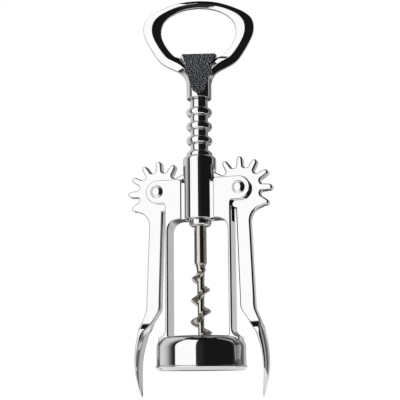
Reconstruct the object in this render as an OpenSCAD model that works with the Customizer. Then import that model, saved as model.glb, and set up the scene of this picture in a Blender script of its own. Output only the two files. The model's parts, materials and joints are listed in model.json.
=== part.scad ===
// Lever corkscrew: a cast frame on a bottle bell, two geared levers, and a ring-toothed
// rack that carries a turning handle, shank and worm.
// Frame: origin on the axis at the bell's lower rim, +Z up, levers in the XZ plane, front is -Y.

/* [Bell] */
// Gap between the bottle's bore and the bell's wall, filled by the plastic liner
liner_wall = 2.8; // [2:0.1:4]
// Height of the bell
bell_h = 15; // [13:0.5:20]
// Wall thickness of the bell
bell_wall = 2; // [1.5:0.25:2.5]
// Thickness of the bell's top
bell_top_t = 3; // [2:0.5:4]
// Radius of the shoulder between the bell's side and top
bell_shoulder_r = 5; // [3:0.5:6]
// How far the lower rim stands out from the bell's side
rim_proud = 0.4; // [0.2:0.1:1]
// Height of the lower rim
rim_h = 2; // [1:0.5:3]
// Radius of the hole that the worm passes through
worm_hole_r = 7; // [6.5:0.5:8]

/* [Bottle seat] */
// Radius of the bore that centres the bottle's neck
bottle_r = 15.2; // [13:0.1:18]
// How far the bottle's neck goes in
bottle_depth = 10; // [8:0.5:11]

/* [Frame] */
// Depth of the frame, front to back
frame_depth = 10.5; // [9:0.5:14]
// Gap between an upright and the straight arm beside it, at the level of the pivots
upright_gap = 1.2; // [0.8:0.1:2]
// Height of the top of the window
window_top = 68; // [56:0.5:69]
// Radius of the window's top corners
window_corner_r = 5; // [3:0.5:6]
// Thickness of an upright
upright_t = 1.5; // [1.2:0.1:2]
// Radius of the blend at an upright's foot
foot_r = 3; // [2:0.5:3.5]
// Height of the lever pivots
pivot_z = 81.3; // [80.5:0.1:98]
// Radius of the rounded ear round each pivot
ear_r = 5.4; // [4.5:0.1:6]
// Distance from the axis to the inner edge of a cheek
cheek_inner_x = 7.4; // [7:0.1:7.6]
// Radius of the blend under each ear
ear_blend_r = 1.6; // [1:0.1:2]

/* [Barrel] */
// Outside radius of the barrel
barrel_r = 7.7; // [7.5:0.1:9]
// How far the barrel stands above the gear teeth
barrel_over = 1.3; // [0.8:0.1:4]
// Size of the chamfer round the barrel's mouth
barrel_chamfer = 1; // [0.5:0.1:1.2]

/* [Rack] */
// Outside radius of the rack's rings
ring_r = 6; // [5.9:0.05:6.1]
// Radius of the rack between its rings
core_r = 4.1; // [3.9:0.1:4.5]
// Distance from one ring to the next, at the standard 14.9 radius of the gears
ring_pitch = 6.8; // [6.7:0.05:6.9]
// Plain length of the rack above its highest ring
rack_stub = 4.55; // [2:0.05:8]
// Half of the height of a ring where it meets the core
ring_half_h = 1.95; // [1.6:0.05:2]
// Number of rings above the level of the pivots at rest
rings_above = 6; // [5:1:6]
// Number of rings below the level of the pivots at rest
rings_below = 2; // [2:1:2]
// Radial clearance between the rings and the barrel
slide_gap = 0.3; // [0.2:0.05:0.4]
// Radial clearance of every turning fit
running_gap = 0.05; // [0.02:0.01:0.1]
// Axial clearance of every turning fit
end_gap = 0.1; // [0.05:0.05:0.3]

/* [Levers] */
// Clearance between a tooth's tip and the rack's core
tooth_clear = 0.3; // [0.2:0.05:0.5]
// Thickness of a lever, front to back
lever_t = 5; // [4.5:0.1:6]
// Gap between a lever and each cheek
cheek_gap = 0.25; // [0.2:0.05:0.4]
// Radius to the tips of the gear teeth
tip_r = 14.9; // [14.6:0.1:15.2]
// Radius to the bottom of the gaps between the teeth
root_r = 9.75; // [9:0.25:10.5]
// Radius of the round tip of a tooth
tooth_tip_r = 1; // [0.8:0.05:1.1]
// Radius of the round gap between two teeth
tooth_gap_r = 1.4; // [1.2:0.1:1.5]
// Width of the straight arm
arm_w = 6.7; // [6:0.1:8]
// Lean of the arms away from the axis, in degrees
arm_lean = 2.1; // [1:0.1:3]
// Widest part of the leaf-shaped grip, front to back
grip_w = 12.6; // [10:0.2:16]
// Height of the lever's lower end
lever_low_z = -11.5; // [-16:0.5:-8]
// Radius of the pivot pins
pin_r = 2; // [1.6:0.1:2.4]
// Radius of the domed heads of the pivot pins
head_r = 3; // [2.6:0.1:3.6]
// Height of the domed heads
head_h = 1; // [0.6:0.1:1.4]

/* [Spindle] */
// Radius of the shank
shank_r = 2.85; // [2.4:0.05:3.2]
// Height of the lower end of the shank
shank_low_z = 46.6; // [44:0.2:52]
// Radius of the collar that holds the rack on the shank
collar_r = 5.2; // [4.8:0.1:5.8]
// Height of the collar
collar_h = 4.2; // [3.6:0.2:6]
// Radius of the pin through the collar
collar_pin_r = 0.9; // [0.7:0.1:1.1]
// Outside radius of the washer under the handle
washer_r = 4.2; // [3.8:0.1:5]
// Thickness of the washer under the handle
washer_t = 0.4; // [0.3:0.1:1]

/* [Worm] */
// Advance of the worm in one turn
worm_pitch = 9.7; // [8.5:0.1:11]
// Outside radius of the worm at its top
worm_top_r = 3.85; // [3.4:0.05:4.4]
// Outside radius of the worm near its point
worm_low_r = 5.2; // [4.4:0.1:5.6]
// Radius of the worm's core
worm_core_r = 1.35; // [1.1:0.05:1.6]
// Height of the worm's point
worm_low_z = 11.2; // [10.8:0.1:13]

/* [Handle] */
// Half of the width of the ring
ring_half_w = 26.3; // [24:0.1:33]
// Height of the handle, from the lower end of its neck to its top
handle_h = 48.6; // [44:0.2:58]
// Depth of the ring at its ridges, front to back
handle_depth = 6.6; // [5.4:0.2:8]
// Depth of the ring at its outer and inner rims
rim_depth = 1.8; // [1.2:0.1:3]
// Outside radius of the neck
neck_r = 5.85; // [5.5:0.05:5.95]
// Height of the lip that lifts a bottle cap, above the lower end of the neck
lip_h = 22; // [21.2:0.2:22.8]
// Half of the width of the lip
lip_half_w = 7.6; // [7:0.1:8.4]
// Thickness of the plate behind the lip
lip_t = 3.4; // [2.8:0.1:4]

// Turn of the handle at rest, away from the plane of the levers, in degrees
handle_turn = 12; // [-90:1:90]

/* [Hidden] */
$fn = 64;

DEG_PER_TOOTH = 30;
FIRST_TOOTH = -1;
LAST_TOOTH = 7;

half_depth = frame_depth / 2;
bell_r = bottle_r + liner_wall + bell_wall;
pivot_x = core_r + tooth_clear + tip_r;
arm_top_x = pivot_x + 0.75;
upright_out = arm_top_x - arm_w / 2 - upright_gap;
window_half = upright_out - upright_t;
barrel_top = pivot_z + tip_r + barrel_over;
neck_low_z = pivot_z + (rings_above - 0.5) * ring_pitch + ring_half_h + rack_stub;
handle_top = neck_low_z + handle_h;
lip_z = neck_low_z + lip_h;
barrel_bore = ring_r + slide_gap;
pocket_half = lever_t / 2 + cheek_gap;
pocket_r = tip_r + 0.4;
cavity_h = bell_h - bell_top_t;
liner_r = bell_r - bell_wall;
pin_reach = half_depth + 1.1;
washer_out_r = 3.4;
pin_washer_t = 0.6;
sleeve_top = neck_low_z - washer_t - 2 * end_gap;
collar_top = pivot_z - (rings_below - 0.5) * ring_pitch - ring_half_h - end_gap;
sleeve_low = collar_top + end_gap;
collar_low = collar_top - collar_h;
shank_top = neck_low_z + 10;

// ---------- frame ----------
module bell_outline() {
    square([bell_r, bell_h - bell_shoulder_r]);
    square([bell_r - bell_shoulder_r, bell_h]);
    translate([bell_r - bell_shoulder_r, bell_h - bell_shoulder_r]) circle(bell_shoulder_r);
    square([bell_r + rim_proud, rim_h]);
}

module bell() {
    color("silver") difference() {
        rotate_extrude() bell_outline();
        translate([0, 0, -1]) cylinder(r = liner_r, h = cavity_h + 1);
        translate([0, 0, -1]) cylinder(r = worm_hole_r, h = bell_h + 2);
    }
}

module window_outline() {
    translate([-window_half, bell_h - 1]) square([2 * window_half, window_top - window_corner_r - bell_h + 1]);
    translate([-window_half + window_corner_r, bell_h])
        square([2 * (window_half - window_corner_r), window_top - bell_h]);
    for (s = [-1, 1])
        translate([s * (window_half - window_corner_r), window_top - window_corner_r])
            circle(window_corner_r);
}

// One side of the frame's face: upright, crossbar, cheek and ear, with the blends between them
module side_outline() {
    ear_low = pivot_z - ear_r;
    difference() {
        union() {
            square([upright_out, ear_low + ear_r]);
            translate([0, ear_low]) square([pivot_x, 2 * ear_r]);
            translate([pivot_x, pivot_z]) circle(ear_r);
            translate([upright_out, ear_low - ear_blend_r]) square([ear_blend_r, ear_blend_r + 1]);
            translate([upright_out, 0]) square([foot_r, bell_h + foot_r]);
        }
        translate([upright_out + ear_blend_r, ear_low - ear_blend_r]) circle(ear_blend_r);
        translate([upright_out + foot_r, bell_h + foot_r]) circle(foot_r);
        translate([-1, -1]) square([upright_out + foot_r + 2, cavity_h + 1]);
        translate([-1, window_top]) square([cheek_inner_x + 1, 2 * pivot_z]);
    }
}

module upright_side() {
    rotate([90, 0, 0]) linear_extrude(frame_depth, center = true)
        difference() {
            side_outline();
            window_outline();
        }
}

module gear_pocket() {
    translate([pivot_x, 0, pivot_z]) rotate([90, 0, 0])
        cylinder(r = pocket_r, h = 2 * pocket_half, center = true);
}

module barrel_body() {
    translate([0, 0, window_top]) cylinder(r = barrel_r, h = barrel_top - barrel_chamfer - window_top);
    translate([0, 0, barrel_top - barrel_chamfer])
        cylinder(r1 = barrel_r, r2 = barrel_r - barrel_chamfer, h = barrel_chamfer);
}

module frame() {
    color("silver") difference() {
        union() {
            for (s = [0, 1]) mirror([s, 0, 0]) upright_side();
            barrel_body();
        }
        rotate_extrude() bell_outline();
        translate([0, 0, window_top - 1]) cylinder(r = barrel_bore, h = barrel_top);
        for (s = [0, 1]) mirror([s, 0, 0]) {
            gear_pocket();
            translate([pivot_x, 0, pivot_z]) rotate([90, 0, 0])
                cylinder(r = pin_r, h = frame_depth + 2, center = true);
        }
    }
}

// Plastic cup inside the bell: its skirt centres the bottle and its top rests on the mouth
module bell_liner() {
    color("dimgray") difference() {
        cylinder(r = liner_r, h = cavity_h);
        translate([0, 0, -1]) cylinder(r = bottle_r, h = bottle_depth + 1);
        translate([0, 0, -1]) cylinder(r = worm_hole_r, h = bell_h);
    }
}

// ---------- pivots ----------
// A pin with a domed head in front and a low peened end at the back
module pivot_pin(side) {
    dome_r = (head_r * head_r + head_h * head_h) / (2 * head_h);
    color("gainsboro") translate([side * pivot_x, 0, pivot_z]) rotate([90, 0, 0]) {
        translate([0, 0, -pin_reach]) cylinder(r = pin_r, h = pin_reach + half_depth);
        intersection() {
            translate([0, 0, half_depth + head_h - dome_r]) sphere(dome_r);
            translate([0, 0, half_depth]) cylinder(r = head_r, h = head_h + 1);
        }
        translate([0, 0, -pin_reach - 0.4]) cylinder(r = pin_r + 0.5, h = 0.4 + 0.5);
    }
}

module pin_washer(side) {
    color("gainsboro") translate([side * pivot_x, half_depth, pivot_z]) rotate([-90, 0, 0])
        difference() {
            cylinder(r = washer_out_r, h = pin_washer_t);
            translate([0, 0, -1]) cylinder(r = pin_r, h = pin_washer_t + 2);
        }
}

module pivot_pin_left() { pivot_pin(-1); }
module pivot_pin_right() { pivot_pin(1); }
module pin_washer_left() { pin_washer(-1); }
module pin_washer_right() { pin_washer(1); }

// ---------- levers ----------
function polar(r, a) = [r * cos(a), r * sin(a)];
function arc(c, r, a0, a1, n) = [for (i = [0:n]) c + polar(r, a0 + (a1 - a0) * i / n)];

// The round tip of the tooth at angle a, and the round gap that follows it
function tooth(a) = arc(polar(tip_r - tooth_tip_r, a), tooth_tip_r, a - 80, a + 80, 8);
function tooth_gap(a) =
    arc(polar(root_r + tooth_gap_r, a), tooth_gap_r, a - 90, a - 270, 8);

// Arm edges: a straight arm that leans by arm_lean, then a kink and a leaf-shaped grip.
// Each edge is a list of [x, z] from its upper to its lower end.
kink_z = 27;
function arm_mid(z) = arm_top_x + (pivot_z - z) * tan(arm_lean);
grip_bend = arm_mid(kink_z) - 22.08;
grip_drop = lever_low_z + 11.5;
inner_grip = [[25.6, 16.6], [27.4, 11], [28.5, 5], [28.8, -1], [28.4, -7], [27.9, -11.5]];
outer_grip = [[29.2, 16.6], [30.4, 11], [30.9, 5], [30.5, -1], [29.5, -7], [28.3, -11.5]];
// Half of the depth of the grip at the height of each of those points
grip_half = [0.98, 0.95, 0.85, 0.68, 0.42, 0.08] * (grip_w / 2);

function grip_z(z) = z + grip_drop * (kink_z - z) / (kink_z + 11.5);
function grip_point(p) = [p[0] + grip_bend, grip_z(p[1])];
loft_z = 32;

function lever_outline() = concat(
    [for (i = [FIRST_TOOTH:LAST_TOOTH]) each concat(
        tooth(i * DEG_PER_TOOTH),
        i < LAST_TOOTH ? tooth_gap((i + 0.5) * DEG_PER_TOOTH) : [])],
    arc([0, 0], root_r - 0.3, 222, 258, 5),
    [[arm_mid(loft_z) - arm_w / 2 - pivot_x, loft_z - pivot_z],
     [arm_mid(loft_z) + arm_w / 2 - pivot_x, loft_z - pivot_z],
     [arm_mid(pivot_z - 17) + arm_w / 2 - pivot_x, -17]],
    arc([arm_mid(pivot_z - 15.2) + arm_w / 2 - pivot_x + 6.6, -15.2], 6.6, 180, 105, 6)
);

// One level of the grip: a rounded bar, x0 to x1 wide and half_y deep to each side of the middle
function grip_ring(x0, x1, z, half_y, bow) = [for (i = [0:15])
    let (a = 22.5 * i, c = cos(a), s = sin(a),
        px = sign(c) * pow(abs(c), 0.7), py = sign(s) * pow(abs(s), 0.7))
    [(x0 + x1) / 2 + px * (x1 - x0) / 2 - bow * py * py, py * half_y, z]];

function straight_ring(z, half_y) =
    grip_ring(arm_mid(z) - arm_w / 2, arm_mid(z) + arm_w / 2, z, half_y, 0);

grip_rings = concat(
    [straight_ring(loft_z + 1, lever_t / 2), straight_ring(kink_z + 1, lever_t / 2)],
    [grip_ring(20.6 + grip_bend, 26.6 + grip_bend, grip_z(24), lever_t / 2, 0),
     grip_ring(22.4 + grip_bend, 27.5 + grip_bend, grip_z(21.4), lever_t / 2 + 0.4, 0)],
    [for (i = [0:len(inner_grip) - 1])
        grip_ring(grip_point(inner_grip[i])[0], grip_point(outer_grip[i])[0],
            grip_point(inner_grip[i])[1], grip_half[i], 0.5)]);

// Skin over a stack of rings that all have the same number of points
module skin(rings) {
    n = len(rings[0]);
    m = len(rings);
    points = [for (ring = rings) each ring];
    sides = [for (j = [0:m - 2], i = [0:n - 1])
        [(j + 1) * n + i, (j + 1) * n + (i + 1) % n, j * n + (i + 1) % n, j * n + i]];
    first_cap = [[for (i = [0:n - 1]) i]];
    last_cap = [[for (i = [n - 1:-1:0]) (m - 1) * n + i]];
    polyhedron(points, concat(first_cap, sides, last_cap));
}

module lever() {
    difference() {
        union() {
            translate([pivot_x, 0, pivot_z]) rotate([90, 0, 0])
                linear_extrude(lever_t, center = true) polygon(lever_outline());
            skin([for (i = [len(grip_rings) - 1:-1:0]) grip_rings[i]]);
        }
        translate([pivot_x, 0, pivot_z]) rotate([90, 0, 0])
            cylinder(r = pin_r + running_gap, h = lever_t + 2, center = true);
    }
}

module lever_right() { color("whitesmoke") lever(); }
module lever_left() { color("whitesmoke") mirror([1, 0, 0]) lever(); }

// ---------- rack and spindle ----------
module rack_outline() {
    square([core_r, sleeve_top - sleeve_low]);
    for (i = [-rings_below:rings_above - 1])
        translate([core_r, pivot_z + (i + 0.5) * ring_pitch - sleeve_low])
            intersection() {
                circle(ring_half_h);
                translate([-1, -5]) square([1 + ring_r - core_r, 10]);
            }
}

module rack_sleeve() {
    color("lightgray") translate([0, 0, sleeve_low]) difference() {
        rotate_extrude() rack_outline();
        translate([0, 0, -5]) cylinder(r = shank_r + running_gap, h = sleeve_top);
    }
}

module thrust_washer() {
    color("dimgray") translate([0, 0, sleeve_top + end_gap]) difference() {
        cylinder(r = washer_r, h = washer_t + end_gap);
        translate([0, 0, -1]) cylinder(r = shank_r, h = washer_t + 3);
    }
}

module end_collar() {
    color("lightgray") translate([0, 0, collar_low]) difference() {
        union() {
            translate([0, 0, 1]) cylinder(r = collar_r, h = collar_h - 1);
            cylinder(r1 = collar_r - 1, r2 = collar_r, h = 1);
        }
        translate([0, 0, -1]) cylinder(r = shank_r, h = collar_h + 2);
        translate([0, 0, collar_h / 2]) rotate([0, 90, 0])
            cylinder(r = collar_pin_r, h = 3 * collar_r, center = true);
    }
}

module collar_pin() {
    color("gray") translate([0, 0, collar_low + collar_h / 2]) rotate([0, 90, 0])
        cylinder(r = collar_pin_r, h = 2 * (collar_r - 0.2), center = true);
}

module shank() {
    color("darkgray") difference() {
        translate([0, 0, shank_low_z]) cylinder(r = shank_r, h = shank_top - shank_low_z);
        translate([0, 0, collar_low + collar_h / 2]) rotate([0, 90, 0])
            cylinder(r = collar_pin_r, h = 3 * collar_r, center = true);
    }
}

// The worm's section is a core with one rounded blade; it turns as it goes up
WORM_SIDES = 16;
WORM_LEVELS_PER_TURN = 20;
POINT_H = 5;
function worm_taper(z) = min(1, max(0.12, (z - worm_low_z) / POINT_H));
function worm_outer(z) =
    worm_low_r + (worm_top_r - worm_low_r) * (z - worm_low_z) / (shank_low_z - worm_low_z);
function blade(a) = pow(max(0, cos(a / 2)), 5);
function worm_radius(z, a) =
    worm_taper(z) * (worm_core_r + (worm_outer(z) - worm_core_r) * blade(a));
worm_h = shank_low_z - worm_low_z;
worm_levels = ceil(worm_h / worm_pitch * WORM_LEVELS_PER_TURN);
worm_rings = [for (j = [0:worm_levels])
    let (z = worm_low_z + worm_h * j / worm_levels, turn = 360 * (z - worm_low_z) / worm_pitch)
    [for (i = [0:WORM_SIDES - 1])
        let (a = 360 * i / WORM_SIDES - 180, r = worm_radius(z, a))
        [r * cos(a + turn), r * sin(a + turn), z]]];

module worm() {
    color("tan") skin(worm_rings);
}

// ---------- handle ----------
// Half outlines of the ring as [x, z] from the top to the foot, z above the neck's lower end,
// for a ring 27.2 half wide and 48.6 high
RING_W0 = 27.2;
RING_TOP0 = 48.6;
RING_FOOT0 = 11.8;
outer_half = [[0, 48.6], [10.5, 47.4], [17.5, 45.1], [23, 42.4], [26, 39.4], [27.2, 35.4],
    [26.7, 31.4], [24.9, 27.4], [22.2, 23], [19.4, 19.1], [15.5, 16.2], [10, 13.3]];
inner_half = [[0, 45], [9.2, 43.4], [13.6, 41.3], [16.5, 38.7], [18, 35.7], [18.2, 32.4],
    [17.3, 29], [15.3, 25.5], [13, 22.4], [11, 20.4], [7.5, 19.4], [4, 19.2]];
function ring_x(x) = x * ring_half_w / RING_W0;
function ring_z(z) = neck_low_z + RING_FOOT0
    + (z - RING_FOOT0) * (handle_h - RING_FOOT0) / (RING_TOP0 - RING_FOOT0);

// Section of the ring: outer rim, front ridge, inner rim, back ridge
function ring_section(i, side) =
    let (o = [side * ring_x(outer_half[i][0]), ring_z(outer_half[i][1])],
        n = [side * ring_x(inner_half[i][0]), ring_z(inner_half[i][1])],
        m = (o + n) / 2, w = rim_depth / 2, h = handle_depth / 2)
    [[o[0], -w, o[1]], [m[0], -h, m[1]], [n[0], -w, n[1]],
     [n[0], w, n[1]], [m[0], h, m[1]], [o[0], w, o[1]]];

module ring_loop() {
    last = len(outer_half) - 1;
    skin(concat([for (i = [last:-1:0]) ring_section(i, -1)],
        [for (i = [1:last]) ring_section(i, 1)]));
}

module lip_plate() {
    foot = ring_z(12.8);
    rotate([90, 0, 0]) linear_extrude(lip_t, center = true)
        polygon([[-neck_r, foot - 3], [neck_r, foot - 3], [11.5, foot + 2.5], [11.5, lip_z - 1.5],
            [lip_half_w + 1, lip_z - 1.2], [lip_half_w, lip_z], [-lip_half_w, lip_z],
            [-lip_half_w - 1, lip_z - 1.2], [-11.5, lip_z - 1.5], [-11.5, foot + 2.5]]);
}

module handle() {
    color("silver") rotate([0, 0, handle_turn]) difference() {
        union() {
            ring_loop();
            lip_plate();
            translate([0, 0, neck_low_z]) cylinder(r = neck_r, h = ring_z(14.8) - neck_low_z);
        }
        translate([0, 0, neck_low_z - 1]) cylinder(r = shank_r, h = shank_top - neck_low_z + 1);
    }
}

frame();
bell();
bell_liner();
pivot_pin_left();
pivot_pin_right();
pin_washer_left();
pin_washer_right();
lever_left();
lever_right();
rack_sleeve();
thrust_washer();
end_collar();
collar_pin();
shank();
worm();
handle();
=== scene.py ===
"""A chrome lever corkscrew: cast frame, geared levers, ring-toothed rack, worm and ring handle."""

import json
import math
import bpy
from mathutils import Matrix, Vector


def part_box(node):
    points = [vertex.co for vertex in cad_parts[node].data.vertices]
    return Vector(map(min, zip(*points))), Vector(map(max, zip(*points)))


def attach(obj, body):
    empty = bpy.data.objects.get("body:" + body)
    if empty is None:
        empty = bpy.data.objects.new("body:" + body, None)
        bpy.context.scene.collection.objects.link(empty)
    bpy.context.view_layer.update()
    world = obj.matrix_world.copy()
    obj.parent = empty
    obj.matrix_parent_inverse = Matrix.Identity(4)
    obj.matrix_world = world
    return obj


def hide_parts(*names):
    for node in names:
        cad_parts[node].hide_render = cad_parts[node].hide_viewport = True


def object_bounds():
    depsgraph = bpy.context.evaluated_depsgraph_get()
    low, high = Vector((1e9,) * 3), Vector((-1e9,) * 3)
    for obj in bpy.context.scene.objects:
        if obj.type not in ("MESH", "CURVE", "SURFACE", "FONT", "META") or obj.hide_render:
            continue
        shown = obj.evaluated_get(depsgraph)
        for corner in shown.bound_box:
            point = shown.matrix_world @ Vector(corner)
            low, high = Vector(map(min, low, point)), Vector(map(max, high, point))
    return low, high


bl_info = {
    "name": "Lever corkscrew",
    "version": (1, 0, 0),
    "blender": (4, 5, 0),
    "location": "View3D > Sidebar > Corkscrew",
    "description": "Builds the finished pieces of a lever corkscrew round its packed frame",
    "category": "Object",
}

import bmesh
import bpy
from bpy.props import FloatProperty, FloatVectorProperty, IntProperty, PointerProperty
from mathutils import Matrix, Vector

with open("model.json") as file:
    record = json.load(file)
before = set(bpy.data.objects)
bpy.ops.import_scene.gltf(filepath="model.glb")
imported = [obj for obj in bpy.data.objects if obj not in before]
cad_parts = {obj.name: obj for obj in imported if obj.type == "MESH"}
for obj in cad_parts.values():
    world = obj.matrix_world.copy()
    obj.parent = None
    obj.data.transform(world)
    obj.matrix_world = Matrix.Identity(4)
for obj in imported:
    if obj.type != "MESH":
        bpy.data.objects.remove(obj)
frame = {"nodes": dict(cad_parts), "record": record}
CAD_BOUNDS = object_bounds()

# The sizes below are in millimetres, and a finished mesh is scaled to metres.
MM = 0.001


def mm_box(node):
    """Lowest and highest corner of a CAD node, in millimetres."""
    low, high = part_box(node)
    return Vector(low) / MM, Vector(high) / MM


FRAME_HIGH = mm_box("frame")[1]
BELL_HIGH = mm_box("bell")[1]
PIN_LOW, PIN_HIGH = mm_box("pivot_pin_right")
RACK_LOW, RACK_HIGH = mm_box("rack_sleeve")
COLLAR_LOW, COLLAR_HIGH = mm_box("end_collar")
SHANK_LOW, SHANK_HIGH = mm_box("shank")
WORM_LOW = mm_box("worm")[0]
HANDLE_LOW = mm_box("handle")[0]
PIVOT = Vector(((PIN_LOW.x + PIN_HIGH.x) / 2, 0, (PIN_LOW.z + PIN_HIGH.z) / 2))


# ---------------------------------------------------------------- sizes and finishes


class FrameSizes(bpy.types.PropertyGroup):
    """Sizes of the cast frame, in millimetres."""

    bell_radius: FloatProperty(name="Bell radius", description="Outside radius of the bell", default=20)
    bell_height: FloatProperty(name="Bell height", description="Height of the bell", default=15)
    bell_wall: FloatProperty(name="Bell wall", description="Thickness of the bell's wall", default=2)
    bell_top: FloatProperty(name="Bell top", description="Thickness of the bell's top", default=3)
    shoulder: FloatProperty(name="Shoulder", description="Radius of the bell's shoulder", default=5)
    rim_height: FloatProperty(name="Rim height", description="Height of the lower rim", default=2)
    worm_hole: FloatProperty(name="Worm hole", description="Radius of the hole for the worm", default=7)
    half_depth: FloatProperty(name="Half depth", description="Half of the uprights' depth", default=5.25)
    window_half: FloatProperty(name="Window", description="Half of the window's width", default=14)
    window_top: FloatProperty(name="Window top", description="Height of the window's top", default=68)
    window_corner: FloatProperty(name="Window corner", description="Radius of its top corners", default=5)
    upright: FloatProperty(name="Upright", description="Thickness of an upright", default=1.5)
    ear: FloatProperty(name="Ear", description="Radius of the ear round a pivot", default=5.4)
    cheek_inner: FloatProperty(name="Cheek", description="Axis to a cheek's inner edge", default=7.4)
    barrel_radius: FloatProperty(name="Barrel", description="Outside radius of the barrel", default=7.7)
    bore: FloatProperty(name="Bore", description="Radius of the barrel's bore", default=6.3)
    edge: FloatProperty(name="Edge", description="Rounding of the casting's edges", default=0.7)


class LeverSizes(bpy.types.PropertyGroup):
    """Sizes of the levers, in millimetres."""

    thickness: FloatProperty(name="Thickness", description="Front to back", default=5)
    tip: FloatProperty(name="Tooth tip", description="Radius to the teeth's tips", default=14.9)
    root: FloatProperty(name="Tooth root", description="Radius to the gaps", default=9.75)
    tooth_round: FloatProperty(name="Tooth round", description="Radius of a tooth's tip", default=1.3)
    gap_round: FloatProperty(name="Gap round", description="Radius of the gap between teeth", default=1.4)
    arm_width: FloatProperty(name="Arm", description="Width of the straight arm", default=6.7)
    arm_lean: FloatProperty(name="Lean", description="Lean of the arm, in degrees", default=2.1)
    hole: FloatProperty(name="Hole", description="Radius of the pivot hole", default=2.05)
    edge: FloatProperty(name="Edge", description="Rounding of the edges", default=0.85)


class RackSizes(bpy.types.PropertyGroup):
    """Sizes of the rack, the shank and the worm, in millimetres."""

    ring: FloatProperty(name="Ring", description="Outside radius of the rings", default=6)
    core: FloatProperty(name="Core", description="Radius between the rings", default=4.1)
    pitch: FloatProperty(name="Pitch", description="Distance between rings", default=6.8)
    ring_half: FloatProperty(name="Ring half", description="Half of a ring's height", default=1.95)
    rings_above: IntProperty(name="Rings above", description="Rings above the pivots", default=6)
    rings_below: IntProperty(name="Rings below", description="Rings below the pivots", default=2)
    shank: FloatProperty(name="Shank", description="Radius of the shank", default=2.85)
    worm_pitch: FloatProperty(name="Worm pitch", description="Advance in one turn", default=9.7)
    worm_top: FloatProperty(name="Worm top", description="Outside radius at the top", default=3.85)
    worm_low: FloatProperty(name="Worm low", description="Outside radius near the point", default=5.2)
    worm_core: FloatProperty(name="Worm core", description="Radius of the core at its foot", default=1.3)
    worm_core_top: FloatProperty(name="Core top", description="Radius of the core at its top", default=1.8)


class HandleSizes(bpy.types.PropertyGroup):
    """Sizes of the handle, in millimetres."""

    neck: FloatProperty(name="Neck", description="Radius of the neck", default=5.85)
    lip: FloatProperty(name="Lip", description="Height of the cap lifter's lip", default=147.2)
    lip_half: FloatProperty(name="Lip half", description="Half of the lip's width", default=7.6)
    lip_thickness: FloatProperty(name="Lip thickness", description="Thickness at the lip", default=3.4)
    rim: FloatProperty(name="Rim", description="Half thickness of the ring at its rims", default=0.9)
    edge: FloatProperty(name="Edge", description="Rounding of ridges and rims", default=0.35)
    turn: FloatProperty(name="Turn", description="Turn of the handle at rest, in degrees", default=12)


class Finishes(bpy.types.PropertyGroup):
    """Colours of the corkscrew's metals and plastic."""

    chrome: FloatVectorProperty(
        name="Chrome", description="Plated castings", subtype="COLOR", default=(0.6, 0.6, 0.605), min=0, max=1
    )
    steel: FloatVectorProperty(
        name="Steel", description="Worm and shank", subtype="COLOR", default=(0.53, 0.5, 0.455), min=0, max=1
    )
    casting: FloatVectorProperty(
        name="Stippled face", description="Stippled casting", subtype="COLOR",
        default=(0.15, 0.158, 0.172), min=0, max=1,
    )
    plastic: FloatVectorProperty(
        name="Liner", description="Plastic of the bell's liner", subtype="COLOR",
        default=(0.05, 0.05, 0.055), min=0, max=1,
    )
    floor: FloatVectorProperty(
        name="Floor", description="Pale floor", subtype="COLOR", default=(0.93, 0.93, 0.93), min=0, max=1
    )


# ---------------------------------------------------------------- materials


def shader_graph(name):
    """A new material, its nodes, its links and its shader."""
    mat = bpy.data.materials.new(name)
    mat.use_nodes = True
    nodes, links = mat.node_tree.nodes, mat.node_tree.links
    shader = nodes["Principled BSDF"]
    return mat, nodes, links, shader


def noise(nodes, links, scale, detail, stretch=(1, 1, 1)):
    """A noise texture on object coordinates; its scale counts features over a metre."""
    coords = nodes.new("ShaderNodeTexCoord")
    mapping = nodes.new("ShaderNodeMapping")
    mapping.inputs["Scale"].default_value = stretch
    texture = nodes.new("ShaderNodeTexNoise")
    texture.inputs["Scale"].default_value = scale
    texture.inputs["Detail"].default_value = detail
    links.new(coords.outputs["Object"], mapping.inputs["Vector"])
    links.new(mapping.outputs["Vector"], texture.inputs["Vector"])
    return texture.outputs["Fac"]


def ranged(nodes, links, value, low, high):
    """The value's 0.3 to 0.7 spread over low to high."""
    spread = nodes.new("ShaderNodeMapRange")
    spread.inputs["From Min"].default_value = 0.3
    spread.inputs["From Max"].default_value = 0.7
    spread.inputs["To Min"].default_value = low
    spread.inputs["To Max"].default_value = high
    links.new(value, spread.inputs["Value"])
    return spread.outputs["Result"]


def tinted(nodes, links, value, dark, light):
    """A colour between dark and light."""
    mix = nodes.new("ShaderNodeMix")
    mix.data_type = "RGBA"
    mix.inputs["A"].default_value = (*dark, 1)
    mix.inputs["B"].default_value = (*light, 1)
    links.new(value, mix.inputs["Factor"])
    return mix.outputs["Result"]


def bumped(nodes, links, height, distance, strength):
    """A bump from a height, distance deep in metres."""
    bump = nodes.new("ShaderNodeBump")
    bump.inputs["Distance"].default_value = distance
    bump.inputs["Strength"].default_value = strength
    links.new(height, bump.inputs["Height"])
    return bump.outputs["Normal"]


def plated(name, colour, rough, ripple=0.04):
    """Polished plating: a soft cloudiness, a slight ripple and fine rub marks in the gloss."""
    mat, nodes, links, shader = shader_graph(name)
    shader.inputs["Metallic"].default_value = 1
    cloud = noise(nodes, links, 140, 2)
    rub = noise(nodes, links, 900, 3, (1, 1, 0.15))
    dark = [c * 0.965 for c in colour]
    links.new(tinted(nodes, links, cloud, dark, colour), shader.inputs["Base Color"])
    links.new(ranged(nodes, links, rub, rough * 0.5, rough * 1.5), shader.inputs["Roughness"])
    wave = noise(nodes, links, 45, 1)
    links.new(bumped(nodes, links, wave, 0.0004, ripple), shader.inputs["Normal"])
    return mat


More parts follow.
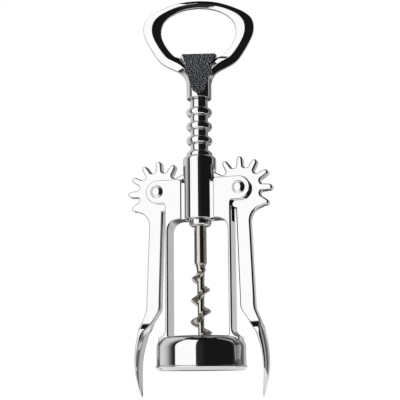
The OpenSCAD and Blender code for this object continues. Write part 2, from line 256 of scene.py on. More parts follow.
def stippled(name, colour):
    """A pebbled face left by the mould, plated over but never polished."""
    mat, nodes, links, shader = shader_graph(name)
    shader.inputs["Metallic"].default_value = 1
    coords = nodes.new("ShaderNodeTexCoord")
    pebbles = nodes.new("ShaderNodeTexVoronoi")
    pebbles.feature = "SMOOTH_F1"
    pebbles.inputs["Scale"].default_value = 1500
    pebbles.inputs["Smoothness"].default_value = 0.6
    links.new(coords.outputs["Object"], pebbles.inputs["Vector"])
    grain = noise(nodes, links, 2600, 2)
    dark = [c * 0.55 for c in colour]
    links.new(tinted(nodes, links, pebbles.outputs["Distance"], colour, dark), shader.inputs["Base Color"])
    links.new(ranged(nodes, links, grain, 0.22, 0.42), shader.inputs["Roughness"])
    links.new(bumped(nodes, links, pebbles.outputs["Distance"], 0.0005, 0.9), shader.inputs["Normal"])
    return mat


def drawn_steel(name, colour):
    """Bare bright steel with grinding marks round it."""
    mat, nodes, links, shader = shader_graph(name)
    shader.inputs["Metallic"].default_value = 1
    marks = noise(nodes, links, 700, 4, (0.4, 0.4, 5))
    cloud = noise(nodes, links, 120, 3)
    dark = [c * 0.72 for c in colour]
    links.new(tinted(nodes, links, cloud, dark, colour), shader.inputs["Base Color"])
    links.new(ranged(nodes, links, marks, 0.1, 0.26), shader.inputs["Roughness"])
    links.new(bumped(nodes, links, marks, 0.00004, 0.35), shader.inputs["Normal"])
    return mat


def moulded(name, colour):
    """Moulded plastic with a fine matt grain."""
    mat, nodes, links, shader = shader_graph(name)
    grain = noise(nodes, links, 1500, 3)
    light = [c * 1.35 for c in colour]
    links.new(tinted(nodes, links, grain, colour, light), shader.inputs["Base Color"])
    links.new(ranged(nodes, links, grain, 0.45, 0.65), shader.inputs["Roughness"])
    links.new(bumped(nodes, links, grain, 0.00005, 0.5), shader.inputs["Normal"])
    return mat


def finish_of(kind):
    """The shared material of that kind, made once."""
    found = bpy.data.materials.get(kind)
    if found:
        return found
    colours = bpy.context.scene.corkscrew_finishes
    makers = {
        "polished_chrome": lambda: plated(kind, tuple(colours.chrome), 0.035),
        "stippled_chrome": lambda: stippled(kind, tuple(colours.casting)),
        "bright_steel": lambda: drawn_steel(kind, tuple(colours.steel)),
        "dark_plastic": lambda: moulded(kind, tuple(colours.plastic)),
    }
    return makers[kind]()


# ---------------------------------------------------------------- modelling tools

NODE_BODY = {node: body for body, nodes in frame["record"]["behaviour"]["bodies"].items() for node in nodes}


def polar(centre, radius, angle):
    """A point at an angle in degrees on a circle in the XZ plane."""
    turn = math.radians(angle)
    return (centre[0] + radius * math.cos(turn), centre[1] + radius * math.sin(turn))


def arc(centre, radius, start, end, steps):
    """Points along an arc."""
    return [polar(centre, radius, start + (end - start) * i / steps) for i in range(steps + 1)]


def between(a, b, c, d, t):
    """A value a share t of the way from b to c, on a smooth curve through a, b, c and d."""
    bend = (2 * a - 5 * b + 4 * c - d) * t * t + (3 * b - a - 3 * c + d) * t**3
    return 0.5 * (2 * b + (c - a) * t + bend)


def eased(points, steps):
    """Points of a smooth curve through the given ones, which may have any number of values each."""
    curve = []
    last = len(points) - 1
    for i in range(last):
        p0, p1 = points[max(i - 1, 0)], points[i]
        p2, p3 = points[i + 1], points[min(i + 2, last)]
        for k in range(steps):
            t = k / steps
            curve.append(tuple(between(*four, t) for four in zip(p0, p1, p2, p3)))
    curve.append(tuple(points[last]))
    return curve


def both_sides(right):
    """A closed outline from its right half, which is given from the bottom up."""
    left = [(-x, z) for x, z in reversed(right)]
    return left[-1:] + right + left[:-1]


def new_ends(loop, known):
    """Pairs each vertex of a freshly extruded loop with the known vertex that it came from."""
    ends = {v for e in loop for v in e.verts}
    pairs = {}
    for v in ends:
        near = (e.other_vert(v) for e in v.link_edges)
        pairs[v] = next(o for o in near if o in known and o not in ends)
    return pairs


def spun_mesh(outline, steps):
    """A bmesh turned from a closed outline of (radius, height) points."""
    bm = bmesh.new()
    verts = [bm.verts.new((r, 0, z)) for r, z in outline]
    edges = [bm.edges.new((verts[i - 1], verts[i])) for i in range(len(verts))]
    on_axis = [e for e in edges if all(abs(v.co.x) < 1e-6 for v in e.verts)]
    for e in on_axis:
        edges.remove(e)
        bm.edges.remove(e)
    bmesh.ops.spin(
        bm, geom=verts + edges, cent=(0, 0, 0), axis=(0, 0, 1), angle=math.tau, steps=steps, use_merge=True
    )
    bmesh.ops.remove_doubles(bm, verts=bm.verts, dist=1e-4)
    bmesh.ops.recalc_face_normals(bm, faces=bm.faces)
    return bm


def plate_mesh(outline, half_depth, edge, segments=3, keep=lambda e: False):
    """A bmesh of an outline in XZ, extruded to both sides of Y = 0, with its outer edges rounded."""
    bm = bmesh.new()
    verts = [bm.verts.new((x, -half_depth, z)) for x, z in outline]
    front = bm.faces.new(verts)
    grown = bmesh.ops.extrude_face_region(bm, geom=[front])
    moved = [v for v in grown["geom"] if isinstance(v, bmesh.types.BMVert)]
    bmesh.ops.translate(bm, verts=moved, vec=(0, 2 * half_depth, 0))
    bmesh.ops.recalc_face_normals(bm, faces=bm.faces)
    rims = [e for e in bm.edges if abs(e.verts[0].co.y - e.verts[1].co.y) < 1e-6 and not keep(e)]
    if edge:
        bmesh.ops.bevel(
            bm, geom=rims, offset=edge, segments=segments, profile=0.5, affect="EDGES", material=-1,
            clamp_overlap=False,
        )
    return bm


def shell(bm, name):
    """An object in millimetres made from a bmesh, to be worked on."""
    mesh = bpy.data.meshes.new(name)
    bm.to_mesh(mesh)
    bm.free()
    obj = bpy.data.objects.new(name, mesh)
    bpy.context.scene.collection.objects.link(obj)
    return obj


def work(obj, other, operation):
    """Joins other to obj or cuts it away, for good."""
    mod = obj.modifiers.new("work", "BOOLEAN")
    mod.object = other
    mod.operation = operation
    mod.solver = "EXACT"
    mod.material_mode = "TRANSFER"
    deps = bpy.context.evaluated_depsgraph_get()
    mesh = bpy.data.meshes.new_from_object(obj.evaluated_get(deps))
    obj.modifiers.clear()
    old = obj.data
    obj.data = mesh
    bpy.data.meshes.remove(old)
    tool = other.data
    bpy.data.objects.remove(other)
    bpy.data.meshes.remove(tool)


def settle(obj, nodes, kinds, sharp=32, even=True):
    """Scales a finished piece to metres, sets its edges and finish and puts it on its body."""
    bm = bmesh.new()
    bm.from_mesh(obj.data)
    bmesh.ops.remove_doubles(bm, verts=bm.verts, dist=2e-4)
    bmesh.ops.dissolve_degenerate(bm, edges=bm.edges, dist=1e-4)
    for face in bm.faces:
        face.smooth = True
    for e in bm.edges:
        e.smooth = e.calc_face_angle(0) < math.radians(sharp)
    bmesh.ops.scale(bm, vec=(MM, MM, MM), verts=bm.verts)
    bm.to_mesh(obj.data)
    bm.free()
    for i in range(max(len(kinds), len(obj.data.materials))):
        if i == len(obj.data.materials):
            obj.data.materials.append(None)
        obj.data.materials[i] = obj.data.materials[i] or finish_of(kinds[0])
    if even:
        mod = obj.modifiers.new("even_shading", "WEIGHTED_NORMAL")
        mod.keep_sharp = True
        mod.weight = 60
    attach(obj, NODE_BODY[nodes[0]])
    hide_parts(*nodes)
    return obj


# ---------------------------------------------------------------- pieces


class CORKSCREW_OT_frame(bpy.types.Operator):
    """Build the cast frame: bell, uprights, cheeks and barrel"""

    bl_idname = "corkscrew.frame"
    bl_label = "Cast frame"

    def bell(self, s):
        z = s.bell_height
        inner = s.bell_radius - s.bell_wall
        shoulder = arc((s.bell_radius - s.shoulder, z - s.shoulder), s.shoulder, 0, 90, 14)
        rim = BELL_HIGH.y
        outline = [(inner, 0), (rim - 1.3, 0), (rim - 1.1, 0.08), (rim - 0.1, 1.25), (rim, 1.45)]
        outline += arc((rim - 0.3, s.rim_height - 0.3), 0.3, 0, 90, 3)
        outline += arc((s.bell_radius + 0.25, s.rim_height + 0.25), 0.25, 270, 180, 3)
        outline += shoulder
        outline += arc((s.worm_hole + 0.5, z - 0.5), 0.5, 90, 180, 4)
        outline += [(s.worm_hole, z - s.bell_top), (inner, z - s.bell_top)]
        return shell(spun_mesh(outline, 128), "frame_casting")

    def side(self, s, side):
        """Upright, crossbar, cheek and ear of one side."""
        out = s.window_half + s.upright
        low = PIVOT.z - s.ear
        foot = 3.6
        blend = 1.6
        corner = s.window_corner
        base = s.bell_height - s.bell_top
        outline = [(s.window_half - 0.8, base), (s.window_half - 0.8, s.bell_height)]
        outline += arc((s.window_half - 0.8, s.bell_height + 0.8), 0.8, 270, 360, 4)[1:]
        outline += arc((s.window_half - corner, s.window_top - corner), corner, 0, 90, 10)
        outline += [(s.cheek_inner, s.window_top)]
        outline += arc((s.cheek_inner + 1.4, PIVOT.z + s.ear - 1.4), 1.4, 180, 90, 5)
        outline += arc((PIVOT.x, PIVOT.z), s.ear, 90, -90, 24)
        outline += arc((out + blend, low - blend), blend, 90, 180, 6)
        outline += arc((out + foot, s.bell_height - 0.4 + foot), foot, 180, 262, 8)
        outline += [(out + foot - 0.4, base)]
        outline = [(side * x, z) for x, z in outline]
        return shell(plate_mesh(outline, s.half_depth, s.edge, 4), "side")

    def barrel(self, s):
        top = FRAME_HIGH.z
        r = s.barrel_radius
        outline = [(0, s.window_top)] + arc((r - 0.5, s.window_top + 0.5), 0.5, -90, 0, 4)
        outline += arc((r - 1.7, top - 1.7), 1.7, 0, 90, 9)
        outline += [(0, top)]
        return shell(spun_mesh(outline, 96), "barrel")

    def web(self, s):
        bm = bmesh.new()
        bmesh.ops.create_cube(bm, size=1)
        high = PIVOT.z + s.ear - 2 - s.window_top
        bmesh.ops.scale(bm, vec=(2 * s.cheek_inner + 1, 2 * s.half_depth - 0.8, high), verts=bm.verts)
        bmesh.ops.translate(bm, vec=(0, 0, s.window_top + high / 2), verts=bm.verts)
        return shell(bm, "web")

    def execute(self, context):
        s = context.scene.corkscrew_frame
        casting = self.bell(s)
        for side in (-1, 1):
            work(casting, self.side(s, side), "UNION")
        work(casting, self.web(s), "UNION")
        work(casting, self.barrel(s), "UNION")
        bore = [(0, s.window_top - 2), (s.bore + 0.5, s.window_top - 2), (s.bore + 0.5, s.window_top)]
        bore += [(s.bore, s.window_top + 0.5), (s.bore, FRAME_HIGH.z - 0.4), (s.bore + 0.4, FRAME_HIGH.z)]
        bore += [(s.bore + 0.4, FRAME_HIGH.z + 2), (0, FRAME_HIGH.z + 2)]
        work(casting, shell(spun_mesh(bore, 96), "bore"), "DIFFERENCE")
        lever = context.scene.corkscrew_lever
        for side in (-1, 1):
            pocket = bmesh.new()
            bmesh.ops.create_cone(
                pocket, cap_ends=True, segments=96, radius1=lever.tip + 0.4, radius2=lever.tip + 0.4,
                depth=lever.thickness + 0.5,
            )
            turn = Matrix.Translation((side * PIVOT.x, 0, PIVOT.z)) @ Matrix.Rotation(math.pi / 2, 4, "X")
            bmesh.ops.transform(pocket, matrix=turn, verts=pocket.verts)
            work(casting, shell(pocket, "pocket"), "DIFFERENCE")
        settle(casting, ["frame", "bell"], ["polished_chrome"])
        return {"FINISHED"}


class CORKSCREW_OT_pins(bpy.types.Operator):
    """Build the two pivot pins with their domed heads"""

    bl_idname = "corkscrew.pins"
    bl_label = "Pivot pins"

    def execute(self, context):
        front = context.scene.corkscrew_frame.half_depth
        head_h = -PIN_LOW.y - front
        head_r = PIN_HIGH.x - PIVOT.x
        back = PIN_HIGH.y
        body_r = 2.0
        dome = []
        for k in range(24, 0, -1):
            out = k / 24
            groove = 0.13 * math.exp(-(((out - 0.76) / 0.07) ** 2))
            dome.append((head_r * out, front + head_h * (1 - 0.85 * out ** 3 - groove)))
        outline = [(0, -back), (body_r, -back)] + arc((body_r + 0.1, -back + 0.4), 0.4, -90, 0, 4)
        outline += [(body_r + 0.5, -back + 0.9), (body_r, -back + 0.9), (body_r, front - 0.02)]
        outline += [(head_r, front - 0.02)] + dome + [(0, front + head_h)]
        for side, name in ((-1, "pivot_pin_left"), (1, "pivot_pin_right")):
            bm = spun_mesh(outline, 48)
            turn = Matrix.Translation((side * PIVOT.x, 0, PIVOT.z)) @ Matrix.Rotation(math.pi / 2, 4, "X")
            bmesh.ops.transform(bm, matrix=turn, verts=bm.verts)
            settle(shell(bm, "rivet_" + name[10:]), [name], ["polished_chrome"])
        return {"FINISHED"}


class CORKSCREW_OT_levers(bpy.types.Operator):
    """Build the two geared levers with their leaf-shaped grips"""

    bl_idname = "corkscrew.levers"
    bl_label = "Levers"

    # Heights, inner and outer edges and half depths of the grip, from the straight arm down to its point
    GRIP = (
        (27.5, 18.7, 25.4, 2.5), (24.5, 20.4, 26.3, 2.5), (21.6, 22.35, 27.55, 2.55),
        (20.8, 22.85, 27.85, 3.3), (20, 23.4, 28.1, 4.15), (19.2, 23.9, 28.4, 5),
        (18.4, 24.45, 28.7, 5.75), (16.6, 25.6, 29.2, 6.25), (13.5, 26.6, 29.9, 6.3),
        (9, 27.85, 30.6, 5.95), (4, 28.6, 30.85, 5.25), (-1, 28.75, 30.5, 4.45),
        (-5, 28.55, 29.85, 3.45), (-8.5, 28.2, 29.1, 2.2), (-10.7, 27.95, 28.55, 1.05),
        (-11.5, 27.9, 28.3, 0.4),
    )

    def arm_mid(self, s, z):
        return PIVOT.x + 0.75 + (PIVOT.z - z) * math.tan(math.radians(s.arm_lean))

    def outline(self, s, low):
        """Teeth and arm, round from the last tooth before the arm, in XZ about the pivot."""
        centre = (PIVOT.x, PIVOT.z)
        points = []
        for i in range(-1, 8):
            a = 30 * i
            points += arc(polar(centre, s.tip - s.tooth_round, a), s.tooth_round, a - 80, a + 80, 10)
            if i < 7:
                gap = polar(centre, s.root + s.gap_round, a + 15)
                points += arc(gap, s.gap_round, a + 15 - 90, a + 15 - 270, 8)
        points += arc(centre, s.root - 0.3, 222, 258, 5)
        half = s.arm_width / 2
        points += [(self.arm_mid(s, low) - half, low), (self.arm_mid(s, low) + half, low)]
        points += [(self.arm_mid(s, PIVOT.z - 17) + half, PIVOT.z - 17)]
        points += arc((self.arm_mid(s, PIVOT.z - 15.2) + half + 6.6, PIVOT.z - 15.2), 6.6, 180, 105, 9)
        return points

    def grip(self, bm, s, low):
        """Draws the arm's open lower end out into the leaf-shaped grip."""
        end = [f for f in bm.faces if all(abs(v.co.z - low) < 1e-4 for v in f.verts)]
        bmesh.ops.delete(bm, geom=end, context="FACES_ONLY")
        longest = sorted((e for e in bm.edges if e.is_boundary), key=lambda e: -e.calc_length())[:4]
        across = [e for e in longest if abs(e.verts[0].co.x - e.verts[1].co.x) > 1]
        bmesh.ops.subdivide_edges(bm, edges=across, cuts=3)
        bmesh.ops.subdivide_edges(bm, edges=[e for e in longest if e not in across], cuts=7)
        loop = [e for e in bm.edges if e.is_boundary]
        mid, half_x, half_y = self.arm_mid(s, low), s.arm_width / 2, s.thickness / 2
        start = (low, mid - half_x, mid + half_x, half_y)
        stations = eased([start] + list(self.GRIP), 5)[1:]
        shape = {v: ((v.co.x - mid) / half_x, v.co.y / half_y) for e in loop for v in e.verts}
        for z, inner, outer, half in stations:
            grown = bmesh.ops.extrude_edge_only(bm, edges=loop)
            loop = [g for g in grown["geom"] if isinstance(g, bmesh.types.BMEdge)]
            leaf = min(max((20.8 - z) / 6, 0), 1)
            leaf = leaf * leaf * (3 - 2 * leaf)
            next_shape = {}
            for v, source in new_ends(loop, shape).items():
                u, w = shape[source]
                next_shape[v] = (u, w)
                thin = 1 - 0.85 * leaf * abs(w) ** 2.8
                centre = (inner + outer) / 2
                bow = 0.45 * leaf * w * w
                v.co = (centre + u * thin * (outer - inner) / 2 - bow, w * half, z)
            shape = next_shape
        bmesh.ops.edgeloop_fill(bm, edges=loop)
        bmesh.ops.recalc_face_normals(bm, faces=bm.faces)

    def execute(self, context):
        s = context.scene.corkscrew_lever
        low = 32
        for side, name in ((-1, "lever_left"), (1, "lever_right")):
            bm = plate_mesh(
                self.outline(s, low), s.thickness / 2, s.edge, 4,
                keep=lambda e: all(abs(v.co.z - low) < 1e-6 for v in e.verts),
            )
            self.grip(bm, s, low)
            lever = shell(bm, name.replace("lever", "cast_lever"))
            hole = bmesh.new()
            bmesh.ops.create_cone(hole, cap_ends=True, segments=48, radius1=s.hole, radius2=s.hole, depth=12)
            turn = Matrix.Translation(PIVOT) @ Matrix.Rotation(math.pi / 2, 4, "X")
            bmesh.ops.transform(hole, matrix=turn, verts=hole.verts)
            work(lever, shell(hole, "hole"), "DIFFERENCE")
            if side < 0:
                lever.data.transform(Matrix.Scale(-1, 4, (1, 0, 0)))
                lever.data.flip_normals()
            settle(lever, [name], ["polished_chrome"], sharp=38)
        return {"FINISHED"}


class CORKSCREW_OT_rack(bpy.types.Operator):
    """Build the ring-toothed rack, the collar below it and the shank"""

    bl_idname = "corkscrew.rack"
    bl_label = "Rack, collar and shank"

    def rack(self, s):
        bore = s.shank + 0.05
        outline = [(bore, RACK_HIGH.z), (bore, RACK_LOW.z)]
        for i in range(-s.rings_below, s.rings_above):
            z = PIVOT.z + (i + 0.5) * s.pitch
            start = -90
            if z - s.ring_half > RACK_LOW.z + 0.01:
                outline += arc((s.core + 0.35, z - s.ring_half - 0.35), 0.35, 180, 90, 3)
                start = -72
            outline += [(s.core + 0.15 + (s.ring - s.core - 0.15) * math.cos(math.radians(a)),
                         z + s.ring_half * math.sin(math.radians(a))) for a in range(start, 73, 8)]
            outline += arc((s.core + 0.35, z + s.ring_half + 0.35), 0.35, 270, 180, 3)
        outline += [(s.core, RACK_HIGH.z - 0.3), (s.core - 0.3, RACK_HIGH.z)]
        settle(shell(spun_mesh(outline, 96), "ring_rack"), ["rack_sleeve"], ["polished_chrome"], sharp=50)

    def collar(self, s):
        low, high, r = COLLAR_LOW.z, COLLAR_HIGH.z, COLLAR_HIGH.y
        outline = [(s.shank, high), (s.shank, low)] + arc((r - 1.6, low + 1.6), 1.6, -90, 0, 8)
        outline += arc((r - 0.4, high - 0.4), 0.4, 0, 90, 3)
        settle(shell(spun_mesh(outline, 72), "round_collar"), ["end_collar"], ["polished_chrome"])

    def shank(self, s):
        low, high = SHANK_LOW.z, SHANK_HIGH.z
        outline = [(0, low), (s.shank * 0.7, low), (s.shank, low + 1.2), (s.shank, high), (0, high)]
        settle(shell(spun_mesh(outline, 48), "round_shank"), ["shank"], ["bright_steel"])

    def execute(self, context):
        s = context.scene.corkscrew_rack
        self.rack(s)
        self.collar(s)
        self.shank(s)
        return {"FINISHED"}


class CORKSCREW_OT_worm(bpy.types.Operator):
    """Build the worm: a tapering core with one thin blade wound round it"""

    bl_idname = "corkscrew.worm"
    bl_label = "Worm"

    START_TURN = 176.4

    def execute(self, context):
        s = context.scene.corkscrew_rack
        low, high = WORM_LOW.z, SHANK_LOW.z + 3
        turns = (high - low) / s.worm_pitch
        steps = int(turns * 44)
        sides = 40
        bm = bmesh.new()
        bmesh.ops.create_circle(bm, cap_ends=False, segments=sides, radius=1)
        bmesh.ops.translate(bm, vec=(0, 0, low), verts=bm.verts)
        turn_at = {v: math.degrees(math.atan2(v.co.y, v.co.x)) for v in bm.verts}
        loop = list(bm.edges)
        angles = dict(turn_at)
        first = list(loop)
        for k in range(steps + 1):
            z = low + (high - low) * k / steps
            if k:
                grown = bmesh.ops.extrude_edge_only(bm, edges=loop)
                loop = [g for g in grown["geom"] if isinstance(g, bmesh.types.BMEdge)]
                angles = {v: angles[source] for v, source in new_ends(loop, angles).items()}
            along = (z - low) / (SHANK_LOW.z - low)
            point = min(1, ((z - low) / 5) ** 0.75 + 0.06)
            core = s.worm_core + (s.worm_core_top - s.worm_core) * min(along, 1)
            fade = min(1, max(0, (SHANK_LOW.z - 0.4 - z) / 4.2))
            blade = (s.worm_low + (s.worm_top - s.worm_low) * along - core) * fade
            if z > SHANK_LOW.z - 2:
                core += (s.shank - core) * min(1, (z - SHANK_LOW.z + 2) / 4) ** 1.5
                blade = max(0, min(blade, s.worm_top - core))
            wind = 360 * (z - low) / s.worm_pitch + self.START_TURN
            for v, a in angles.items():
                edge = abs((a + 180) % 360 - 180) / 180
                r = point * (core + blade * math.exp(-((edge / 0.2) ** 2)))
                v.co = (r * math.cos(math.radians(a + wind)), r * math.sin(math.radians(a + wind)), z)
        bmesh.ops.edgeloop_fill(bm, edges=loop)
        bmesh.ops.edgeloop_fill(bm, edges=first)
        bmesh.ops.recalc_face_normals(bm, faces=bm.faces)
        settle(shell(bm, "wound_worm"), ["worm"], ["bright_steel"], sharp=60, even=False)
        return {"FINISHED"}


class CORKSCREW_OT_handle(bpy.types.Operator):
    """Build the ring handle with its neck and cap lifter"""

    bl_idname = "corkscrew.handle"
    bl_label = "Handle"

    # Right half of the ring from its top to the foot of its leg: outer x and z, inner x and z, half depth
    HALF_RING = (
        (0, 173.8, 0, 170.2, 2.1), (5.2, 173.5, 4.7, 169.8, 1.85), (10.4, 172.6, 9.1, 168.6, 1.7),
        (16.6, 170.4, 13.2, 166.5, 1.95), (21.8, 167.8, 16, 163.9, 2.35), (25.2, 164.6, 17.4, 160.9, 2.7),
        (26.3, 160.6, 17.7, 157.7, 2.8), (25.8, 156.8, 16.9, 154.3, 2.7), (24.1, 152.9, 15.2, 151, 2.6),
        (21.7, 148.6, 13, 148, 2.5), (19, 144.6, 11, 146.2, 2.5), (16.7, 142.4, 9.1, 145.6, 2.6),
        (13.5, 140.6, 7, 144.3, 2.8), (10.2, 138.9, 5, 142, 3.2), (7.9, 137.2, 3.2, 138.6, 3.8),
        (6.5, 135, 2.2, 136, 4.2), (5.8, 132, 1.8, 132.4, 4.6), (5.4, 129, 1.6, 129, 4.7),
    )

    def ring(self, s):
        half = eased(self.HALF_RING, 5)
        stations = [(-xo, zo, -xi, zi, h) for xo, zo, xi, zi, h in half[:0:-1]] + half
        bm = bmesh.new()
        rows = []
        for xo, zo, xi, zi, h in stations:
            xm, zm = (xo + xi) / 2, (zo + zi) / 2
            section = [(xo, -s.rim, zo), (xm, -h, zm), (xi, -s.rim, zi)]
            section += [(xi, s.rim, zi), (xm, h, zm), (xo, s.rim, zo)]
            rows.append([bm.verts.new(p) for p in section])
        loops = [[bm.edges.new((row[i - 1], row[i])) for i in range(6)] for row in rows]
        for a, b in zip(loops, loops[1:]):
            bmesh.ops.bridge_loops(bm, edges=a + b)
        bmesh.ops.edgeloop_fill(bm, edges=loops[0])
        bmesh.ops.edgeloop_fill(bm, edges=loops[-1])
        bmesh.ops.recalc_face_normals(bm, faces=bm.faces)
        lengths = [bm.edges.get(pair) for row, after in zip(rows, rows[1:]) for pair in zip(row, after)]
        bmesh.ops.bevel(
            bm, geom=[e for e in lengths if e], offset=s.edge, segments=2, profile=0.5, affect="EDGES",
            material=-1, clamp_overlap=True,
        )
        return shell(bm, "cast_handle")

    def neck(self, s):
        low = HANDLE_LOW.z
        outline = [(0, low)] + arc((s.neck - 0.5, low + 0.5), 0.5, -90, 0, 4)
        outline += arc((s.neck - 3, 137), 3, 0, 60, 6) + [(0, 141)]
        return shell(spun_mesh(outline, 96), "neck")

    def plate(self, s):
        lip, half = s.lip, s.lip_half
        right = [(4, 134), (5.6, 141), (half - 0.4, lip - 3.4), (half + 1, lip - 1.2), (half, lip)]
        return shell(plate_mesh(both_sides(right), s.lip_thickness / 2 + 0.3, 0.3, 3), "plate")

    # Floor of the hollow below the lip: height, and depth in front of the middle
    FLOOR = (
        (126.6, 5.9), (128.2, 5.2), (131.5, 4.4), (135, 3.35),
        (138.5, 2.6), (142, 2.1), (145, 1.75), (149, 1.4),
    )

    def block(self, s):
        """What the hollows below the lip are cut into."""
        half, top = s.lip_half - 0.03, s.lip - 0.02
        right = [(5, 136.4), (5.9, 138.6), (6.1, 142), (half, top)]
        return shell(plate_mesh(both_sides(right), 2.9, 0), "block")

    def scoop(self, s, side):
        """The sloping hollow below the lip, in front or at the back."""
        bm = bmesh.new()
        right = [(6.3, 125), (6.3, 142), (s.lip_half + 0.3, s.lip - 0.6), (s.lip_half + 0.3, 149)]
        front = bm.faces.new([bm.verts.new((x, -9, z)) for x, z in both_sides(right)])
        grown = bmesh.ops.extrude_face_region(bm, geom=[front])
        moved = [g for g in grown["geom"] if isinstance(g, bmesh.types.BMVert)]
        bmesh.ops.translate(bm, verts=moved, vec=(0, 1, 0))
        for z, depth in self.FLOOR[1:-1]:
            bmesh.ops.bisect_plane(
                bm, geom=bm.verts[:] + bm.edges[:] + bm.faces[:], plane_co=(0, 0, z), plane_no=(0, 0, 1)
            )
        for v in bm.verts:
            if v.co.y > -8.5:
                for (z0, y0), (z1, y1) in zip(self.FLOOR, self.FLOOR[1:]):
                    if v.co.z <= z1 + 1e-6:
                        v.co.y = -(y0 + (y1 - y0) * (v.co.z - z0) / (z1 - z0))
                        break
        bmesh.ops.scale(bm, vec=(1, side, 1), verts=bm.verts)
        bmesh.ops.recalc_face_normals(bm, faces=bm.faces)
        scoop = shell(bm, "scoop")
        scoop.data.materials.append(finish_of("stippled_chrome"))
        return scoop

    def execute(self, context):
        s = context.scene.corkscrew_handle
        handle = self.ring(s)
        handle.data.materials.append(finish_of("polished_chrome"))
        for part in (self.neck(s), self.plate(s), self.block(s)):
            part.data.materials.append(finish_of("polished_chrome"))
            work(handle, part, "UNION")
        for side in (1, -1):
            work(handle, self.scoop(s, side), "DIFFERENCE")
        handle.data.transform(Matrix.Rotation(math.radians(s.turn), 4, "Z"))
        names = [m.name for m in handle.data.materials]
        settle(handle, ["handle"], names)
        return {"FINISHED"}


class CORKSCREW_OT_small_parts(bpy.types.Operator):
    """Give the liner, washers and collar pin their finishes"""

    bl_idname = "corkscrew.small_parts"
    bl_label = "Liner, washers and collar pin"

    def execute(self, context):
        kinds = {
            "bell_liner": "dark_plastic",
            "thrust_washer": "bright_steel",
            "pin_washer_left": "bright_steel",
            "pin_washer_right": "bright_steel",
            "collar_pin": "bright_steel",
        }
        for name, kind in kinds.items():
            mesh = frame["nodes"][name].data
            mesh.materials.clear()
            mesh.materials.append(finish_of(kind))
        return {"FINISHED"}


# ---------------------------------------------------------------- stage


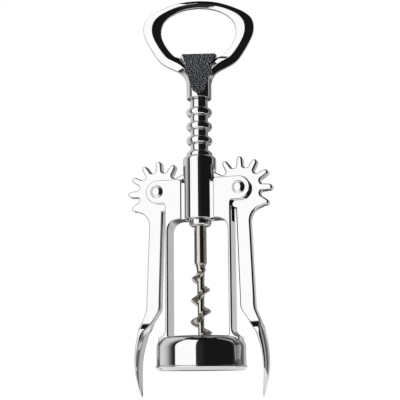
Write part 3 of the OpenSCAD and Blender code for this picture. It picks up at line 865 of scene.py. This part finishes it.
class CORKSCREW_OT_stage(bpy.types.Operator):
    """Build the floor, the studio light and the camera"""

    bl_idname = "corkscrew.stage"
    bl_label = "Stage"

    CAMERA_AZIMUTH = 15
    CAMERA_DISTANCE = 441 * MM
    CAMERA_HEIGHT = -5 * MM
    CAMERA_PITCH = 10.57
    CAMERA_ROLL = -0.52
    CAMERA_LENS = 87.75

    LIGHT = 1.42
    # Studio round the object: azimuth in degrees from the front, and brightness
    WALLS = (
        (-180, 0.16), (-168, 0.06), (-152, 0.2), (-135, 0.6), (-107, 0.72), (-97, 0.7), (-88, 0.6),
        (-80, 0.42), (-73, 0.2), (-66, 0.06), (-60, 0.015), (-56, 0.012), (-54.5, 1.15), (0, 1.15),
        (1.5, 0.03), (14, 0.02), (25, 0.01), (102, 0.01), (110, 0.05), (116, 0.5), (119, 0.5),
        (126, 0.16), (140, 0.1), (152, 0.16), (161, 0.48), (170, 0.54), (180, 0.16),
    )

    # Where one light gives way to the next: elevations in degrees, and a share of the way behind
    WALL_TOP = (66, 68)
    WALL_FOOT = (-50, -52)
    GROUND_EDGE = (-66, -70)
    CEILING_EDGE = (0.22, 0.3)

    def camera(self, scene):
        data = bpy.data.cameras.new("camera")
        data.lens = self.CAMERA_LENS
        data.sensor_width = 36
        data.clip_start = 0.01
        cam = bpy.data.objects.new("camera", data)
        scene.collection.objects.link(cam)
        turn = math.radians(self.CAMERA_AZIMUTH)
        place = Vector((math.sin(turn), -math.cos(turn), 0)) * self.CAMERA_DISTANCE
        place.z = self.CAMERA_HEIGHT
        look = Matrix.Rotation(turn, 4, "Z") @ Matrix.Rotation(math.radians(90 + self.CAMERA_PITCH), 4, "X")
        roll = Matrix.Rotation(math.radians(self.CAMERA_ROLL), 4, "Z")
        cam.matrix_world = Matrix.Translation(place) @ look @ roll
        scene.camera = cam

    def floor(self, scene):
        bm = bmesh.new()
        bmesh.ops.create_circle(bm, cap_ends=True, segments=96, radius=0.11)
        mesh = bpy.data.meshes.new("floor")
        bm.to_mesh(mesh)
        bm.free()
        floor = bpy.data.objects.new("floor", mesh)
        scene.collection.objects.link(floor)
        mesh.transform(Matrix.Translation((0, 0, CAD_BOUNDS[0][2] - 0.0006)))
        mat, nodes, links, shader = shader_graph("pale_floor")
        colour = tuple(scene.corkscrew_finishes.floor)
        cloud = noise(nodes, links, 2, 1)
        dark = [c * 0.985 for c in colour]
        links.new(tinted(nodes, links, cloud, dark, colour), shader.inputs["Base Color"])
        shader.inputs["Roughness"].default_value = 0.9
        shader.inputs["Emission Color"].default_value = (1, 1, 1, 1)
        shader.inputs["Emission Strength"].default_value = 0.75
        mesh.materials.append(mat)

    def studio(self, scene):
        world = bpy.data.worlds.new("studio")
        scene.world = world
        world.use_nodes = True
        nodes, links = world.node_tree.nodes, world.node_tree.links
        background = nodes["Background"]
        coords = nodes.new("ShaderNodeTexCoord")
        split = nodes.new("ShaderNodeSeparateXYZ")
        links.new(coords.outputs["Generated"], split.inputs["Vector"])

        def math_node(operation, a, b=None):
            node = nodes.new("ShaderNodeMath")
            node.operation = operation
            for socket, value in zip(node.inputs, (a, b)):
                if isinstance(value, (int, float)):
                    socket.default_value = value
                elif value is not None:
                    links.new(value, socket)
            return node.outputs["Value"]

        azimuth = math_node("ARCTAN2", split.outputs["X"], math_node("MULTIPLY", split.outputs["Y"], -1))
        along = math_node("ADD", math_node("DIVIDE", azimuth, math.tau), 0.5)
        ramp = nodes.new("ShaderNodeValToRGB")
        ramp.color_ramp.interpolation = "LINEAR"
        stops = ramp.color_ramp.elements
        for i, (angle, light) in enumerate(self.WALLS):
            place = (angle + 180) / 360
            stop = stops[i] if i < 2 else stops.new(place)
            stop.position = place
            stop.color = (*[self.LIGHT * light] * 3, 1)
        links.new(along, ramp.inputs["Fac"])

        def ranged_node(value, low, high):
            node = nodes.new("ShaderNodeMapRange")
            node.inputs["From Min"].default_value = low
            node.inputs["From Max"].default_value = high
            links.new(value, node.inputs["Value"])
            return node.outputs["Result"]

        def mixed(factor, under, light):
            node = nodes.new("ShaderNodeMix")
            node.data_type = "RGBA"
            node.inputs["B"].default_value = (*[light] * 3, 1)
            links.new(factor, node.inputs["Factor"])
            links.new(under, node.inputs["A"])
            return node.outputs["Result"]

        # The walls end in a dark gap above and below; the ceiling behind and the ground are pale
        up = math_node("MULTIPLY", math_node("ARCSINE", split.outputs["Z"]), 180 / math.pi)
        above = ranged_node(up, *self.WALL_TOP)
        behind = ranged_node(split.outputs["Y"], *self.CEILING_EDGE)
        front = ranged_node(split.outputs["Y"], *reversed(self.CEILING_EDGE))
        pale = 0.6 * self.LIGHT
        light = mixed(math_node("MULTIPLY", above, front), ramp.outputs["Color"], 0.01)
        light = mixed(math_node("MULTIPLY", above, behind), light, pale)
        light = mixed(ranged_node(up, *self.WALL_FOOT), light, 0.015)
        light = mixed(ranged_node(up, *self.GROUND_EDGE), light, pale)
        rays = nodes.new("ShaderNodeLightPath")
        light = mixed(rays.outputs["Is Camera Ray"], light, 1)
        links.new(light, background.inputs["Color"])

    def execute(self, context):
        scene = context.scene
        scene.view_settings.view_transform = "Standard"
        self.camera(scene)
        self.floor(scene)
        self.studio(scene)
        return {"FINISHED"}


class CORKSCREW_PT_panel(bpy.types.Panel):
    """Lists the corkscrew's pieces"""

    bl_idname = "CORKSCREW_PT_panel"
    bl_label = "Lever corkscrew"
    bl_space_type = "VIEW_3D"
    bl_region_type = "UI"
    bl_category = "Corkscrew"

    def draw(self, context):
        for piece in PIECES:
            self.layout.operator(piece.bl_idname)


PIECES = (
    CORKSCREW_OT_frame,
    CORKSCREW_OT_pins,
    CORKSCREW_OT_levers,
    CORKSCREW_OT_rack,
    CORKSCREW_OT_worm,
    CORKSCREW_OT_handle,
    CORKSCREW_OT_small_parts,
    CORKSCREW_OT_stage,
)
GROUPS = {
    "corkscrew_frame": FrameSizes,
    "corkscrew_lever": LeverSizes,
    "corkscrew_rack": RackSizes,
    "corkscrew_handle": HandleSizes,
    "corkscrew_finishes": Finishes,
}


def register():
    for cls in (*GROUPS.values(), *PIECES, CORKSCREW_PT_panel):
        bpy.utils.register_class(cls)
    for name, group in GROUPS.items():
        setattr(bpy.types.Scene, name, PointerProperty(type=group))


def unregister():
    for name in GROUPS:
        delattr(bpy.types.Scene, name)
    for cls in reversed((*GROUPS.values(), *PIECES, CORKSCREW_PT_panel)):
        bpy.utils.unregister_class(cls)


def main():
    register()
    for piece in PIECES:
        group, name = piece.bl_idname.split(".")
        getattr(getattr(bpy.ops, group), name)()


if __name__ == "__main__":
    main()
